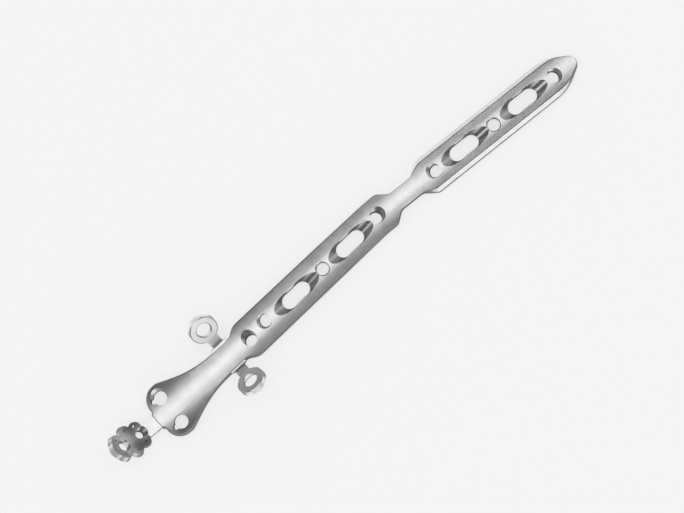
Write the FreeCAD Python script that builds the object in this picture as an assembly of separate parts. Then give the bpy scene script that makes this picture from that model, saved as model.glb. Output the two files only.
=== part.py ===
import FreeCAD, Part
import os
from math import atan2, cos, degrees, radians, sin, sqrt, tan

# Long bone plate, made in one piece. The bone side faces +Z, the convex outer face lies
# on the floor, and +X runs from the head to the pointed end. Millimetres and degrees.

V = FreeCAD.Vector
UP = V(0, 0, 1)

# Plan: stations are measured along the centre line from the end wall of the head. The
# walls lean in towards the bone side, so the rim there is narrower than the outer face.
plate_thickness = 3.0
overrun = 2.5            # how far cutting tools reach beyond a surface
head_width = 18.4
head_end_width = 5.0     # the straight middle of the head's end
head_end_step = 0.7      # how far it stands out
head_corner = 5.2        # radius of the rounded head lobes
head_crest = 7.2         # station where the lobes start to narrow
head_crest_radius = 2.0
head_waist = 18.5
head_waist_radius = 36.0
waist_width = 8.6
middle_start = (33.2, 36.0)   # shoulder before the middle stretch
middle_start_radii = (3.0, 5.0)
middle_end = (94.0, 97.5)
second_waist_radius = 2.5     # all four corners round the second waist
middle_width = 12.5
middle_end_width = 11.9
second_waist_width = 6.2
last_start = (105.7, 109.6)
last_width = 12.5
first_hole = 37.5
second_hole = 44.6
row_start = 45.35        # the even row of holes and slots goes on from here
hole_pitch = 11.2
tip_shoulder = row_start + 10 * hole_pitch + 1.45
tip_point = tip_shoulder + 10.2     # where the two sides of the tip would meet
tip_shoulder_radius = 14.0
tip_nose = 2.7

# The walls lean in, each by so much up to the rim level: a little up to a crease, and
# more above it.
base_level = -1.0        # under the outer face
crease_level = 2.1
crease_share = 0.15
rim_level = 4.6
head_wall = 0.85
waist_wall = 0.67
middle_wall = 0.86
second_waist_wall = 0.38
last_wall = 2.6
tip_wall = 0.85
wall_rise = 0.85         # no wall's normal rises more, and no wide face's normal less

# In-plane bow: the centre line leans by these angles up to each station.
bends = [(23.2, 1.4), (89.8, 3.25), (tip_point + 1, -1.75)]
bend_radius = 65.0
side_bend_radius = 30.0

# Cross-section: a shallow channel of even thickness.
channel_radius = 27.0
blank_half_width = 11.0
blank_margin = 1.0
rim_bevel = 0.15         # bone-side edges
outer_bevel = 0.5        # edges of the outer face

# Screw holes of the shaft: station, offset, lean along and lean across. The leans say
# where the bone-side end of a hole is aimed.
hole_radius = 1.95
shaft_holes = [
    (first_hole, -0.8, 0, 16),
    (second_hole, 0.4, -8, 0),
    (row_start + 2 * hole_pitch, -0.2, 0, 0),
    (row_start + 4 * hole_pitch, 0.0, 16, 4),
    (row_start + 6 * hole_pitch, -0.2, -8, 6),
    (row_start + 8 * hole_pitch, -0.25, 0, 0),
    (row_start + 10 * hole_pitch + 0.45, -0.2, 12, 0),
]
slot_offsets = ((1, -0.3), (3, -0.25), (7, -0.05), (9, -0.05))     # place in the row, offset
slots = [(row_start + k * hole_pitch, offset) for k, offset in slot_offsets]
slot_length = 10.0
slot_width = 4.6
scoop_radius = 2.7       # a slot's ends rise to the bone side in ramps
scoop_reaches = (3.2, 4.3)
scoop_depths = (1.9, 1.7)
sink_depth = 1.1         # screw-head seats in the outer face
sink_angle = 40.0
slot_seat_inset = 0.6    # a slot's seat is this much shorter than the slot
hole_edge = 0.25         # broken edges of the holes on the bone side

head_hole_radius = 2.15
head_holes = [(5.6, 4.6, 5.1), (5.8, -4.9, -5.1)]   # station, offset, offset of its small hole
wire_hole_radius = 0.85
wire_hole_gap = 2.3      # the small hole runs into the screw hole beside it

# Side tabs: a thin neck that bends up towards the bone and carries a ring.
tab_station = 29.4
tab_offset = 0.2         # the pair of tabs lies a little beside the centre line
tab_neck_width = 3.7
tab_neck_thickness = 1.3
tab_neck_level = 1.3
tab_bend_at = 5.1
tab_bend_radius = 1.0
tab_angle = 41.0
ring_radius = 4.5
ring_thickness = 2.2
ring_hole_radius = 2.3
ring_bevel = 0.3
ring_reach = 7.6         # from the bend to the ring's centre
tab_root = 0.5           # how far the neck reaches into the ring
pad_length = 5.7
pad_step = 0.5
pad_root = 2.0           # the pads start this far from the row, inside the bar
pad_bottom = 0.9
pad_drop = 0.35          # how far their tops lie under the bone side's rim

# End cluster: a narrow neck and a cupped, lobed end that curls up towards the bone.
neck_width = 4.4
neck_length = 3.9
neck_offset = 0.0
neck_bottom = 0.3
neck_root = 2.0          # how far the neck runs into what it joins
cup_thickness = 2.0
cup_radius = 11.0        # bone side of the cup, a part of a ball
cup_offset = 0.55
# Curl angle, side angle and radius of each pair of lobes, and the radius between them.
lobes = [(12, 12, 1.9, 2.6), (30.5, 16.5, 1.95, 3.3), (53.5, 10, 2.3, 3.3)]
cup_holes = [(12, 16, 1.3), (45, 0, 1.6)]    # curl angle, lean, radius
cup_hole_edge = 0.15
cup_sink_depth = 0.3
lobe_hole_radius = 0.45
lobe_hole_out = 3.0      # further out than the lobe's middle, degrees


def lean_at(station):
    # The lean of the centre line; half way between both leans at a bend itself.
    leans = [lean for end, lean in bends]
    for k, (end, lean) in enumerate(bends[:-1]):
        if abs(station - end) < 1e-6:
            return (lean + leans[k + 1]) / 2
        if station < end:
            return lean
    return leans[-1]


def along(station, offset=0.0, height=0.0):
    # The point at a station, moved sideways from the centre line.
    x = y = start = 0.0
    for end, lean in bends:
        step = min(station, end) - start
        x += step * cos(radians(lean))
        y += step * sin(radians(lean))
        start = end
        if station <= end:
            break
    turn = radians(lean_at(station))
    return V(x - offset * sin(turn), y + offset * cos(turn), height)


def placed(shape, station, offset=0.0, height=0.0):
    # Turns a shape made along +X to the lean of its station and moves it there.
    shape = shape.copy()
    shape.rotate(V(), UP, lean_at(station))
    shape.translate(along(station, offset, height))
    return shape


def corner(before, at, after, radius):
    # The arc that rounds one corner: its first point, middle and last point.
    one, two = (before - at).normalize(), (after - at).normalize()
    half = one.getAngle(two) / 2
    reach = radius / tan(half)
    middle = (one + two).normalize() * (radius / sin(half) - radius)
    return at + one * reach, at + middle, at + two * reach


def rounded(corners, closed=True):
    # A wire through (point, radius) corners.
    count = len(corners)
    ends = range(count) if closed else range(1, count - 1)
    arcs = {
        k: corner(corners[k - 1][0], corners[k][0], corners[(k + 1) % count][0], corners[k][1])
        for k in ends
        if corners[k][1] > 0
    }
    edges = []
    for k in range(count if closed else count - 1):
        after = (k + 1) % count
        a = arcs[k][2] if k in arcs else corners[k][0]
        b = arcs[after][0] if after in arcs else corners[after][0]
        if (b - a).Length > 1e-4:
            edges.append(Part.LineSegment(a, b).toShape())
        if after in arcs:
            edges.append(Part.Arc(*arcs[after]).toShape())
    return Part.Wire(Part.__sortEdges__(edges))


def plan_outline(wall):
    # The outline of the outer face (wall 0) or of the bone-side rim (wall 1). Each corner
    # has a station, a half width, a radius, the lean-in of its wall and its shift inwards
    # along the plate.
    step = head_end_step
    half = [
        (0.0, head_end_width / 2, step, 0.5 * head_wall, head_wall),
        (step, head_end_width / 2 + step, step, 0.5 * head_wall, head_wall),
        (step, head_width / 2, head_corner, head_wall, head_wall),
        (head_crest, head_width / 2, head_crest_radius, head_wall, 0.0),
        (head_waist, waist_width / 2, head_waist_radius, waist_wall, 0.0),
        (middle_start[0], waist_width / 2, middle_start_radii[0], waist_wall, 0.0),
        (middle_start[1], middle_width / 2, middle_start_radii[1], middle_wall, 0.0),
        (bends[1][0], middle_end_width / 2, side_bend_radius, middle_wall, 0.0),
        (middle_end[0], middle_end_width / 2, second_waist_radius, middle_wall, 0.0),
        (middle_end[1], second_waist_width / 2, second_waist_radius, second_waist_wall, 0.0),
        (last_start[0], second_waist_width / 2, second_waist_radius, second_waist_wall, 0.0),
        (last_start[1], last_width / 2, second_waist_radius, last_wall, 0.0),
        (tip_shoulder, last_width / 2, tip_shoulder_radius, last_wall, last_wall),
    ]
    left, right = [], []
    for station, width, radius, lean_in, shift in half:
        for side, corners in ((1, left), (-1, right)):
            at = along(station + wall * shift, side * (width - wall * lean_in))
            corners.append((at, max(radius - wall * lean_in, radius / 2)))
    tip = along(tip_point - wall * tip_wall)
    return rounded(left + [(tip, tip_nose - wall * tip_wall)] + right[::-1])


def sagitta(radius, offset):
    return radius - sqrt(radius**2 - offset**2)


def channel_section():
    # The cross-section in the YZ plane, concave above and convex below.
    half = blank_half_width
    arcs = []
    for level, side in ((0, 1), (plate_thickness, -1)):
        edge = level + sagitta(channel_radius, half)
        arcs.append(Part.Arc(V(0, -side * half, edge), V(0, 0, level), V(0, side * half, edge)).toShape())
    ends = [arc.Vertexes[k].Point for arc in arcs for k in (0, -1)]
    sides = [Part.LineSegment(ends[1], ends[2]).toShape(), Part.LineSegment(ends[3], ends[0]).toShape()]
    return Part.Wire([arcs[0], sides[0], arcs[1], sides[1]])


def bar_blank():
    # The channel section swept along the bowed centre line.
    stations = [-blank_margin] + [end for end, lean in bends]
    path = rounded([(along(s), bend_radius) for s in stations], closed=False)
    section = placed(channel_section(), -blank_margin)
    return path.makePipeShell([section], True, False)


def rim_edges(solid, up):
    # Edges between a wall and the bone side (up) or the outer face.
    found = []
    for edge in solid.Edges:
        at = edge.valueAt((edge.FirstParameter + edge.LastParameter) / 2)
        rises = []
        for face in solid.ancestorsOfType(edge, Part.Face):
            u, v = face.Surface.parameter(at)
            rises.append(face.normalAt(u, v).z * (1 if up else -1))
        if len(rises) == 2 and abs(min(rises, key=abs)) < wall_rise < max(rises):
            found.append(edge)
    return found


def walled_block():
    # The plan raised through the plate, between walls that lean in.
    levels = [(-crease_share, base_level), (crease_share, crease_level), (1, rim_level)]
    wires = [plan_outline(wall).translated(V(0, 0, level)) for wall, level in levels]
    return Part.makeLoft(wires, True, True)


def bar():
    body = bar_blank().common(walled_block()).Solids[0]
    body = body.makeChamfer(outer_bevel, rim_edges(body, False))
    return body.makeChamfer(rim_bevel, rim_edges(body, True))


def bored(radius, length, edge=hole_edge, sink=sink_depth):
    # A drill along Z, centred on the bone side: bore, broken edge, seat in the outer face.
    drill = Part.makeCylinder(radius, length + 2 * overrun, V(0, 0, -length - overrun))
    broken = Part.makeCone(radius, radius + overrun, overrun, V(0, 0, -edge))
    reach = sink + overrun
    wide = radius + reach * tan(radians(sink_angle))
    seat = Part.makeCone(wide, radius, reach, V(0, 0, sink - length - reach))
    return drill.multiFuse([broken, seat])


def shaft_hole_cutters():
    cutters = []
    for station, offset, lean_along, lean_across in shaft_holes:
        drill = bored(hole_radius, plate_thickness)
        drill.rotate(V(), V(0, 1, 0), lean_along)
        drill.rotate(V(), V(1, 0, 0), -lean_across)
        cutters.append(placed(drill, station, offset, plate_thickness))
    return cutters


def head_hole_cutters():
    cutters = []
    for station, offset, wire_offset in head_holes:
        level = plate_thickness + sagitta(channel_radius, offset)
        cutters.append(placed(bored(head_hole_radius, plate_thickness), station, offset, level))
        wire_hole = Part.makeCylinder(wire_hole_radius, 3 * plate_thickness, V(0, 0, -plate_thickness))
        cutters.append(placed(wire_hole, station - wire_hole_gap, wire_offset))
    return cutters


def long_hole(length, width, height):
    corners = [(x * length / 2, y * width / 2) for x, y in ((1, 1), (-1, 1), (-1, -1), (1, -1))]
    wire = rounded([(V(x, y, 0), width / 2) for x, y in corners])
    return Part.Face(wire).extrude(V(0, 0, height))


def scoop(side, reach, depth):
    # The path of a ball cutter from the slot's round end up a ramp to the bone side.
    tilt = atan2(depth, reach)
    inner = (slot_length - slot_width) / 2
    level = plate_thickness - depth - (slot_length / 2 - inner) * tan(tilt) + scoop_radius / cos(tilt)
    start, path = V(side * inner, 0, level), V(side * cos(tilt), 0, sin(tilt))
    ball = Part.makeSphere(scoop_radius, start, path, -90, 0, 360)
    return ball.fuse(Part.makeCylinder(scoop_radius, 3 * reach, start, path))


def slot_seat():
    # The screw-head seat of a slot: its outline widened towards the outer face.
    grow = (sink_depth + overrun) * tan(radians(sink_angle))
    wires = []
    for extra, level in ((grow, -overrun), (0.0, sink_depth)):
        hole = long_hole(slot_length - slot_seat_inset + 2 * extra, slot_width + 2 * extra, 1)
        low = min(hole.Faces, key=lambda f: f.CenterOfMass.z)
        wires.append(low.OuterWire.translated(V(0, 0, level)))
    return Part.makeLoft(wires, True, True)


def slot_cutters():
    through = long_hole(slot_length, slot_width, plate_thickness + 2 * overrun)
    through.translate(V(0, 0, -overrun))
    tools = [through, slot_seat()]
    tools += [scoop(*ramp) for ramp in zip((-1, 1), scoop_reaches, scoop_depths)]
    return [placed(tool, station, offset) for station, offset in slots for tool in tools]


def bent_strip(level, bend_at, angle, reach, thickness, width, radius):
    # A flat strip in the YZ plane that bends up by an angle, with rounded bends.
    turn = radians(angle)
    end = V(0, bend_at + reach * cos(turn), level + reach * sin(turn))
    rise = V(0, -sin(turn), cos(turn)) * (thickness / 2)
    shift = tan(turn / 2) * thickness / 2
    half = thickness / 2
    corners = [
        (V(0, 0, level - half), 0),
        (V(0, bend_at + shift, level - half), radius + half),
        (end - rise, 0),
        (end + rise, 0),
        (V(0, bend_at - shift, level + half), radius - half),
        (V(0, 0, level + half), 0),
    ]
    strip = Part.Face(rounded(corners)).extrude(V(width, 0, 0))
    strip.translate(V(-width / 2, 0, 0))
    return strip


def in_ring(shape):
    # Moves a shape made along Z to the ring of the tab on the +Y side.
    turn = radians(tab_angle)
    shape.rotate(V(), V(1, 0, 0), tab_angle)
    shape.translate(V(0, tab_bend_at + ring_reach * cos(turn), tab_neck_level + ring_reach * sin(turn)))
    return shape


def tab_parts():
    # What one side tab adds, and what is then cut from it.
    disc = Part.makeCylinder(ring_radius, ring_thickness, V(0, 0, -ring_thickness / 2))
    disc = disc.makeChamfer(ring_bevel, [e for e in disc.Edges if e.isClosed()])
    neck = bent_strip(tab_neck_level, tab_bend_at, tab_angle, ring_reach - ring_hole_radius - tab_root,
                      tab_neck_thickness, tab_neck_width, tab_bend_radius)
    top = plate_thickness + sagitta(channel_radius, waist_width / 2) - pad_drop
    pad = Part.makeBox(pad_length, waist_width / 2 + pad_step - pad_root, top - pad_bottom,
                       V(-pad_length / 2, pad_root, pad_bottom))
    pad = pad.makeChamfer(ring_bevel, [e for e in pad.Edges if e.BoundBox.YMin > pad_root])
    drill = bored(ring_hole_radius, ring_thickness)
    drill.translate(V(0, 0, ring_thickness / 2))
    return [in_ring(disc), neck, pad], [in_ring(drill)]


def both_sides(shapes):
    # The shapes of a +Y tab on both sides of the centre line at their station.
    turned = [shape.mirror(V(), V(0, 1, 0)) for shape in shapes]
    return [placed(shape, tab_station, tab_offset) for shape in shapes + turned]


def curled(shape, angle, side_angle=0.0):
    # Carries a shape from the start of the curl to its place on the cup.
    middle = V(0, 0, cup_thickness + cup_radius)
    shape = shape.copy()
    shape.rotate(middle, V(1, 0, 0), side_angle)
    shape.rotate(middle, V(0, 1, 0), angle)
    return shape


def pin(radius):
    return Part.makeCylinder(radius, cup_thickness + 2 * overrun, V(0, 0, -overrun))


def cluster():
    # A cup cut from a hollow ball, kept where its lobes stand.
    middle = V(0, 0, cup_thickness + cup_radius)
    ball = Part.makeSphere(cup_radius + cup_thickness, middle)
    hollow = Part.makeSphere(cup_radius, middle)
    pins = []
    for angle, side_angle, radius, core in lobes:
        pins.append(curled(pin(core), angle))
        pins += [curled(pin(radius), angle, side * side_angle) for side in (1, -1)]
    kept = ball.common(pins[0].multiFuse(pins[1:])).cut(hollow)
    kept.translate(V(-neck_length, cup_offset, 0))
    return kept


def cluster_cutters():
    cutters = []
    for angle, lean, radius in cup_holes:
        drill = bored(radius, cup_thickness, cup_hole_edge, cup_sink_depth)
        drill.rotate(V(), V(0, 1, 0), lean)
        drill.translate(V(0, 0, cup_thickness))
        cutters.append(curled(drill, angle))
    for angle, side_angle, radius, core in lobes:
        for side in (1, -1):
            hole = pin(lobe_hole_radius)
            cutters.append(curled(hole, angle, side * (side_angle + lobe_hole_out)))
    for shape in cutters:
        shape.translate(V(-neck_length, cup_offset, 0))
    return cutters


def end_neck():
    corner = V(-neck_length - neck_root, neck_offset - neck_width / 2, neck_bottom)
    return Part.makeBox(neck_length + 2 * neck_root, neck_width, cup_thickness - neck_bottom, corner)


def bone_plate():
    tabs, tab_drills = tab_parts()
    body = bar().multiFuse(both_sides(tabs) + [end_neck(), cluster()])
    body = body.cut(both_sides(tab_drills) + cluster_cutters())
    body = body.cut(head_hole_cutters() + shaft_hole_cutters() + slot_cutters())
    solid = max(body.Solids, key=lambda s: s.Volume)
    box = solid.optimalBoundingBox()
    solid.translate(V(-box.Center.x, -box.Center.y, -box.ZMin))
    return solid


if __name__ == "__main__":
    os.makedirs("parts", exist_ok=True)
    bone_plate().exportStep("parts/bone_plate.step")
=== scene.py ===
import math

import bpy
from mathutils import Matrix, Vector

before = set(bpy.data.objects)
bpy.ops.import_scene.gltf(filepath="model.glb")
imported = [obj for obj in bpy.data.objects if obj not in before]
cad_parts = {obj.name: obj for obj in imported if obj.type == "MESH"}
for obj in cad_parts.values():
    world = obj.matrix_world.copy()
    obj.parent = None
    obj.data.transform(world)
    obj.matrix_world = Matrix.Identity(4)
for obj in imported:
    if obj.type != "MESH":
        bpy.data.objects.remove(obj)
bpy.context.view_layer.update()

print("frame loaded:", sorted(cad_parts))


# Shader maths: a Value is one output socket, and arithmetic on it adds Math nodes.
class Value:
    def __init__(self, maker, socket):
        self.maker, self.socket = maker, socket

    def maths(self, operation, *operands):
        inputs = dict(enumerate(operands))
        return self.maker.add("ShaderNodeMath", {"operation": operation}, inputs)

    def __add__(self, other): return self.maths("ADD", self, other)
    def __radd__(self, other): return self.maths("ADD", other, self)
    def __sub__(self, other): return self.maths("SUBTRACT", self, other)
    def __rsub__(self, other): return self.maths("SUBTRACT", other, self)
    def __mul__(self, other): return self.maths("MULTIPLY", self, other)
    def __rmul__(self, other): return self.maths("MULTIPLY", other, self)
    def atLeast(self, other): return self.maths("MAXIMUM", self, other)
    def size(self): return self.maths("ABSOLUTE", self)


class NodeMaker:
    def __init__(self, tree):
        self.tree = tree
        tree.nodes.clear()

    # Adds one node: its type, its settings, then the values or links of its sockets.
    def add(self, kind, settings=None, inputs=None, output=0):
        node = self.tree.nodes.new(kind)
        for name, setting in (settings or {}).items():
            setattr(node, name, setting)
        for name, given in (inputs or {}).items():
            if isinstance(given, Value):
                self.tree.links.new(given.socket, node.inputs[name])
            else:
                node.inputs[name].default_value = given
        if len(node.outputs) == 0:
            return node
        return Value(self, node.outputs[output])

    # A value eased from 0 to 1 between two edges.
    def ease(self, value, low, high):
        inputs = {"Value": value, "From Min": low, "From Max": high}
        return self.add("ShaderNodeMapRange", {"interpolation_type": "SMOOTHSTEP"}, inputs)

    def mixColour(self, factor, one, two):
        inputs = {0: factor, 6: one, 7: two}
        return self.add("ShaderNodeMix", {"data_type": "RGBA"}, inputs, output=2)

    # Noise with grains of about the given size in metres.
    def noise(self, place, size, detail, roughness):
        inputs = {"Vector": place, "Scale": 1 / size, "Detail": detail, "Roughness": roughness}
        return self.add("ShaderNodeTexNoise", None, inputs)

    # One of the coordinates x, y, z (0, 1, 2) of a place or direction.
    def part(self, vector, axis):
        return self.add("ShaderNodeSeparateXYZ", None, {"Vector": vector}, output=axis)

    def objectPlace(self):
        return self.add("ShaderNodeTexCoord", output=3)


def newMaterial(name):
    material = bpy.data.materials.new(name)
    material.use_nodes = True
    return material, NodeMaker(material.node_tree)


# The plate's metal. Each noise has a size in metres, a detail and a roughness.
plateMetal = {
    "lightTone": (0.770, 0.770, 0.765, 1.0),
    "darkTone": (0.690, 0.690, 0.690, 1.0),
    "roughness": 0.33,
    "roughnessSpread": 0.05,
    "grain": (0.00022, 3.0, 0.6),       # blasted surface
    "grainDepth": 0.000006,
    "cloud": (0.004, 4.0, 0.55),        # slow variation of the tone
    "cloudEdges": (0.35, 0.65),
    "mill": (0.00030, 2.0, 0.5),        # faint cutter lines along the plate
    "millStretch": (0.04, 1.0, 1.0),
    "millDepth": 0.0000012,
}


def steelMaterial(settings):
    material, make = newMaterial("plateMetal")
    place = make.objectPlace()
    stretch = {"Vector": place, "Scale": settings["millStretch"]}
    lengthwise = make.add("ShaderNodeMapping", None, stretch)
    grain = make.noise(place, *settings["grain"])
    cloud = make.noise(place, *settings["cloud"])
    mill = make.noise(lengthwise, *settings["mill"])
    tone = make.ease(cloud, *settings["cloudEdges"])
    colour = make.mixColour(tone, settings["darkTone"], settings["lightTone"])
    rough = settings["roughness"] + (cloud + grain - 1.0) * settings["roughnessSpread"]
    height = grain * settings["grainDepth"] + mill * settings["millDepth"]
    bump = make.add("ShaderNodeBump", None, {"Height": height, "Strength": 1.0, "Distance": 1.0})
    shader = make.add("ShaderNodeBsdfPrincipled", None, {
        "Base Color": colour, "Metallic": 1.0, "Roughness": rough, "Normal": bump,
    })
    make.add("ShaderNodeOutputMaterial", None, {"Surface": shader})
    return material


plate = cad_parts["bone_plate"]
steel = steelMaterial(plateMetal)
if not plate.material_slots:
    plate.data.materials.append(steel)
for held in plate.material_slots:
    held.material = steel
print("plate metal set")


# Floor, backdrop and light. A lamp is aimed at the plate from its place, in metres.
studio = {
    "paper": 0.905,             # floor and background as the camera sees them
    "floorTone": 0.80,          # the floor as other light meets it
    "sheetTone": 0.97,          # the metal mirrors a pale sheet on a darker table
    "tableTone": 0.25,
    "paintedShadeTone": 0.20,          # and painted shade close under the plate, a dark patch that stands in for its shadow in the metal's reflections
    "sheetSize": (0.36, 0.14),          # metres, like the next five
    "sheetEdge": 0.02,
    "paintedShadeLength": 0.19,
    "paintedShadeWidths": (0.016, 0.032),      # under the shaft, and under the head and tabs
    "headSide": (0.02, -0.03),          # the width changes between these x
    "paintedShadeEdge": 0.003,
    "shadowShare": 0.22,        # how much of the floor's own light shows
    "floorSize": 6.0,
    "ceiling": 0.05,            # what the metal mirrors above
    "backdrop": 0.50,           # and near the horizon
    "backdropTop": (0.20, 0.50),        # it fades between these upward parts of a direction
    "darkSide": (0.55, 0.90),           # and between these parts towards +Y
    "surround": 0.95,           # soft light on the floor
    "lamps": {
        "softbox": {"watts": 3.4, "size": (1.50, 0.36), "place": (-0.20, 0.167, 1.188)},
        "lowCard": {"watts": 1.05, "size": (0.70, 0.50), "place": (-0.03, -0.875, 0.190)},
        "endCard": {"watts": 0.45, "size": (0.50, 0.60), "place": (0.75, 0.0, 0.50)},
    },
}


def grey(tone):
    return (tone, tone, tone, 1.0)


def raysOf(make, *kinds):
    rays = [make.add("ShaderNodeLightPath", output=kind) for kind in kinds]
    total = rays[0]
    for ray in rays[1:]:
        total = total.atLeast(ray)
    return total


# How far a point of the floor is outside a rectangle round the origin.
def outside(x, y, length, width):
    return (x.size() - length * 0.5).atLeast(y.size() - width * 0.5)


# The floor's tone in the metal: painted shade under the plate, pale sheet, then table.
def mirroredTone(make, settings):
    place = make.objectPlace()
    x, y = make.part(place, 0), make.part(place, 1)
    offSheet = outside(x, y, *settings["sheetSize"])
    sheet = make.mixColour(
        make.ease(offSheet, -settings["sheetEdge"], settings["sheetEdge"]),
        grey(settings["sheetTone"]), grey(settings["tableTone"]),
    )
    narrow, wide = settings["paintedShadeWidths"]
    width = narrow + make.ease(x, *settings["headSide"]) * (wide - narrow)
    offPaintedShade = outside(x, y, settings["paintedShadeLength"], width)
    # Painted shade: inside this patch under the plate, the metal mirrors a dark tone in place of
    # the plate's shadow.
    lit = make.ease(offPaintedShade, -settings["paintedShadeEdge"], settings["paintedShadeEdge"])
    return make.mixColour(lit, grey(settings["paintedShadeTone"]), sheet)


def floorMaterial(settings):
    material, make = newMaterial("studioFloor")
    glossy = raysOf(make, "Is Glossy Ray")
    tone = make.mixColour(glossy, grey(settings["floorTone"]), mirroredTone(make, settings))
    own = make.add("ShaderNodeBsdfDiffuse", None, {"Color": tone})
    paper = grey(settings["paper"])
    shown = make.add("ShaderNodeEmission", None, {"Color": paper, "Strength": 1.0})
    seen = raysOf(make, "Is Camera Ray", "Is Transmission Ray") * (1 - settings["shadowShare"])
    both = make.add("ShaderNodeMixShader", None, {0: seen, 1: own, 2: shown})
    make.add("ShaderNodeOutputMaterial", None, {"Surface": both})
    return material


def addFloor(settings):
    half = settings["floorSize"] / 2
    corners = [(-half, -half, 0), (half, -half, 0), (half, half, 0), (-half, half, 0)]
    mesh = bpy.data.meshes.new("floor")
    mesh.from_pydata(corners, [], [(0, 1, 2, 3)])
    floor = bpy.data.objects.new("floor", mesh)
    bpy.context.scene.collection.objects.link(floor)
    mesh.materials.append(floorMaterial(settings))


def addWorld(settings):
    world = bpy.data.worlds.new("studio")
    bpy.context.scene.world = world
    world.use_nodes = True
    make = NodeMaker(world.node_tree)
    seen = raysOf(make, "Is Camera Ray", "Is Transmission Ray")
    mirrored = raysOf(make, "Is Glossy Ray")
    direction = make.objectPlace()
    sideways, rise = make.part(direction, 1), make.part(direction, 2)
    low = 1 - make.ease(rise, *settings["backdropTop"])
    pale = low * (1 - make.ease(sideways, *settings["darkSide"]))
    level = settings["ceiling"] + pale * (settings["backdrop"] - settings["ceiling"])
    strength = seen * settings["paper"] + mirrored * level
    strength = strength + (1 - seen.atLeast(mirrored)) * settings["surround"]
    shader = make.add("ShaderNodeBackground", None, {"Color": grey(1.0), "Strength": strength})
    make.add("ShaderNodeOutputWorld", None, {"Surface": shader})


def addLamp(name, watts, size, place):
    lamp = bpy.data.lights.new(name, "AREA")
    lamp.shape, lamp.energy = "RECTANGLE", watts
    lamp.size, lamp.size_y = size
    holder = bpy.data.objects.new(name, lamp)
    bpy.context.scene.collection.objects.link(holder)
    back = Vector(place).normalized()
    side = Vector((0, 1, 0)).cross(back).normalized()
    holder.matrix_world = Matrix((side, back.cross(side), back)).transposed().to_4x4()
    holder.location = place
    holder.visible_camera = False


addFloor(studio)
addWorld(studio)
for name, lamp in studio["lamps"].items():
    addLamp(name, **lamp)
print("studio set")


# The camera looks down on the plate, 8 degrees off the upright, and is turned so that
# the plate lies slantwise in the frame.
shot = {
    "aim": (-0.00066, 0.00083, 0.0025),
    "distance": 0.855,
    "lens": 150.0,
    "sensor": 36.0,
    "clip": (0.01, 50.0),
    "tip": 8.0,                 # degrees towards -Y
    "turn": 40.3,               # degrees between the plate's length and the frame's width
}


def addCamera(settings):
    tip, turn = math.radians(settings["tip"]), math.radians(settings["turn"])
    back = Vector((0, -math.sin(tip), math.cos(tip)))
    across = Vector((0, math.cos(tip), math.sin(tip)))
    right = Vector((math.cos(turn), 0, 0)) - across * math.sin(turn)
    up = Vector((math.sin(turn), 0, 0)) + across * math.cos(turn)
    lens = bpy.data.cameras.new("camera")
    lens.lens, lens.sensor_width = settings["lens"], settings["sensor"]
    lens.clip_start, lens.clip_end = settings["clip"]
    camera = bpy.data.objects.new("camera", lens)
    bpy.context.scene.collection.objects.link(camera)
    camera.matrix_world = Matrix((right, up, back)).transposed().to_4x4()
    camera.location = Vector(settings["aim"]) + back * settings["distance"]
    bpy.context.scene.camera = camera


addCamera(shot)
bpy.context.scene.view_settings.view_transform = "Standard"
print("camera set")
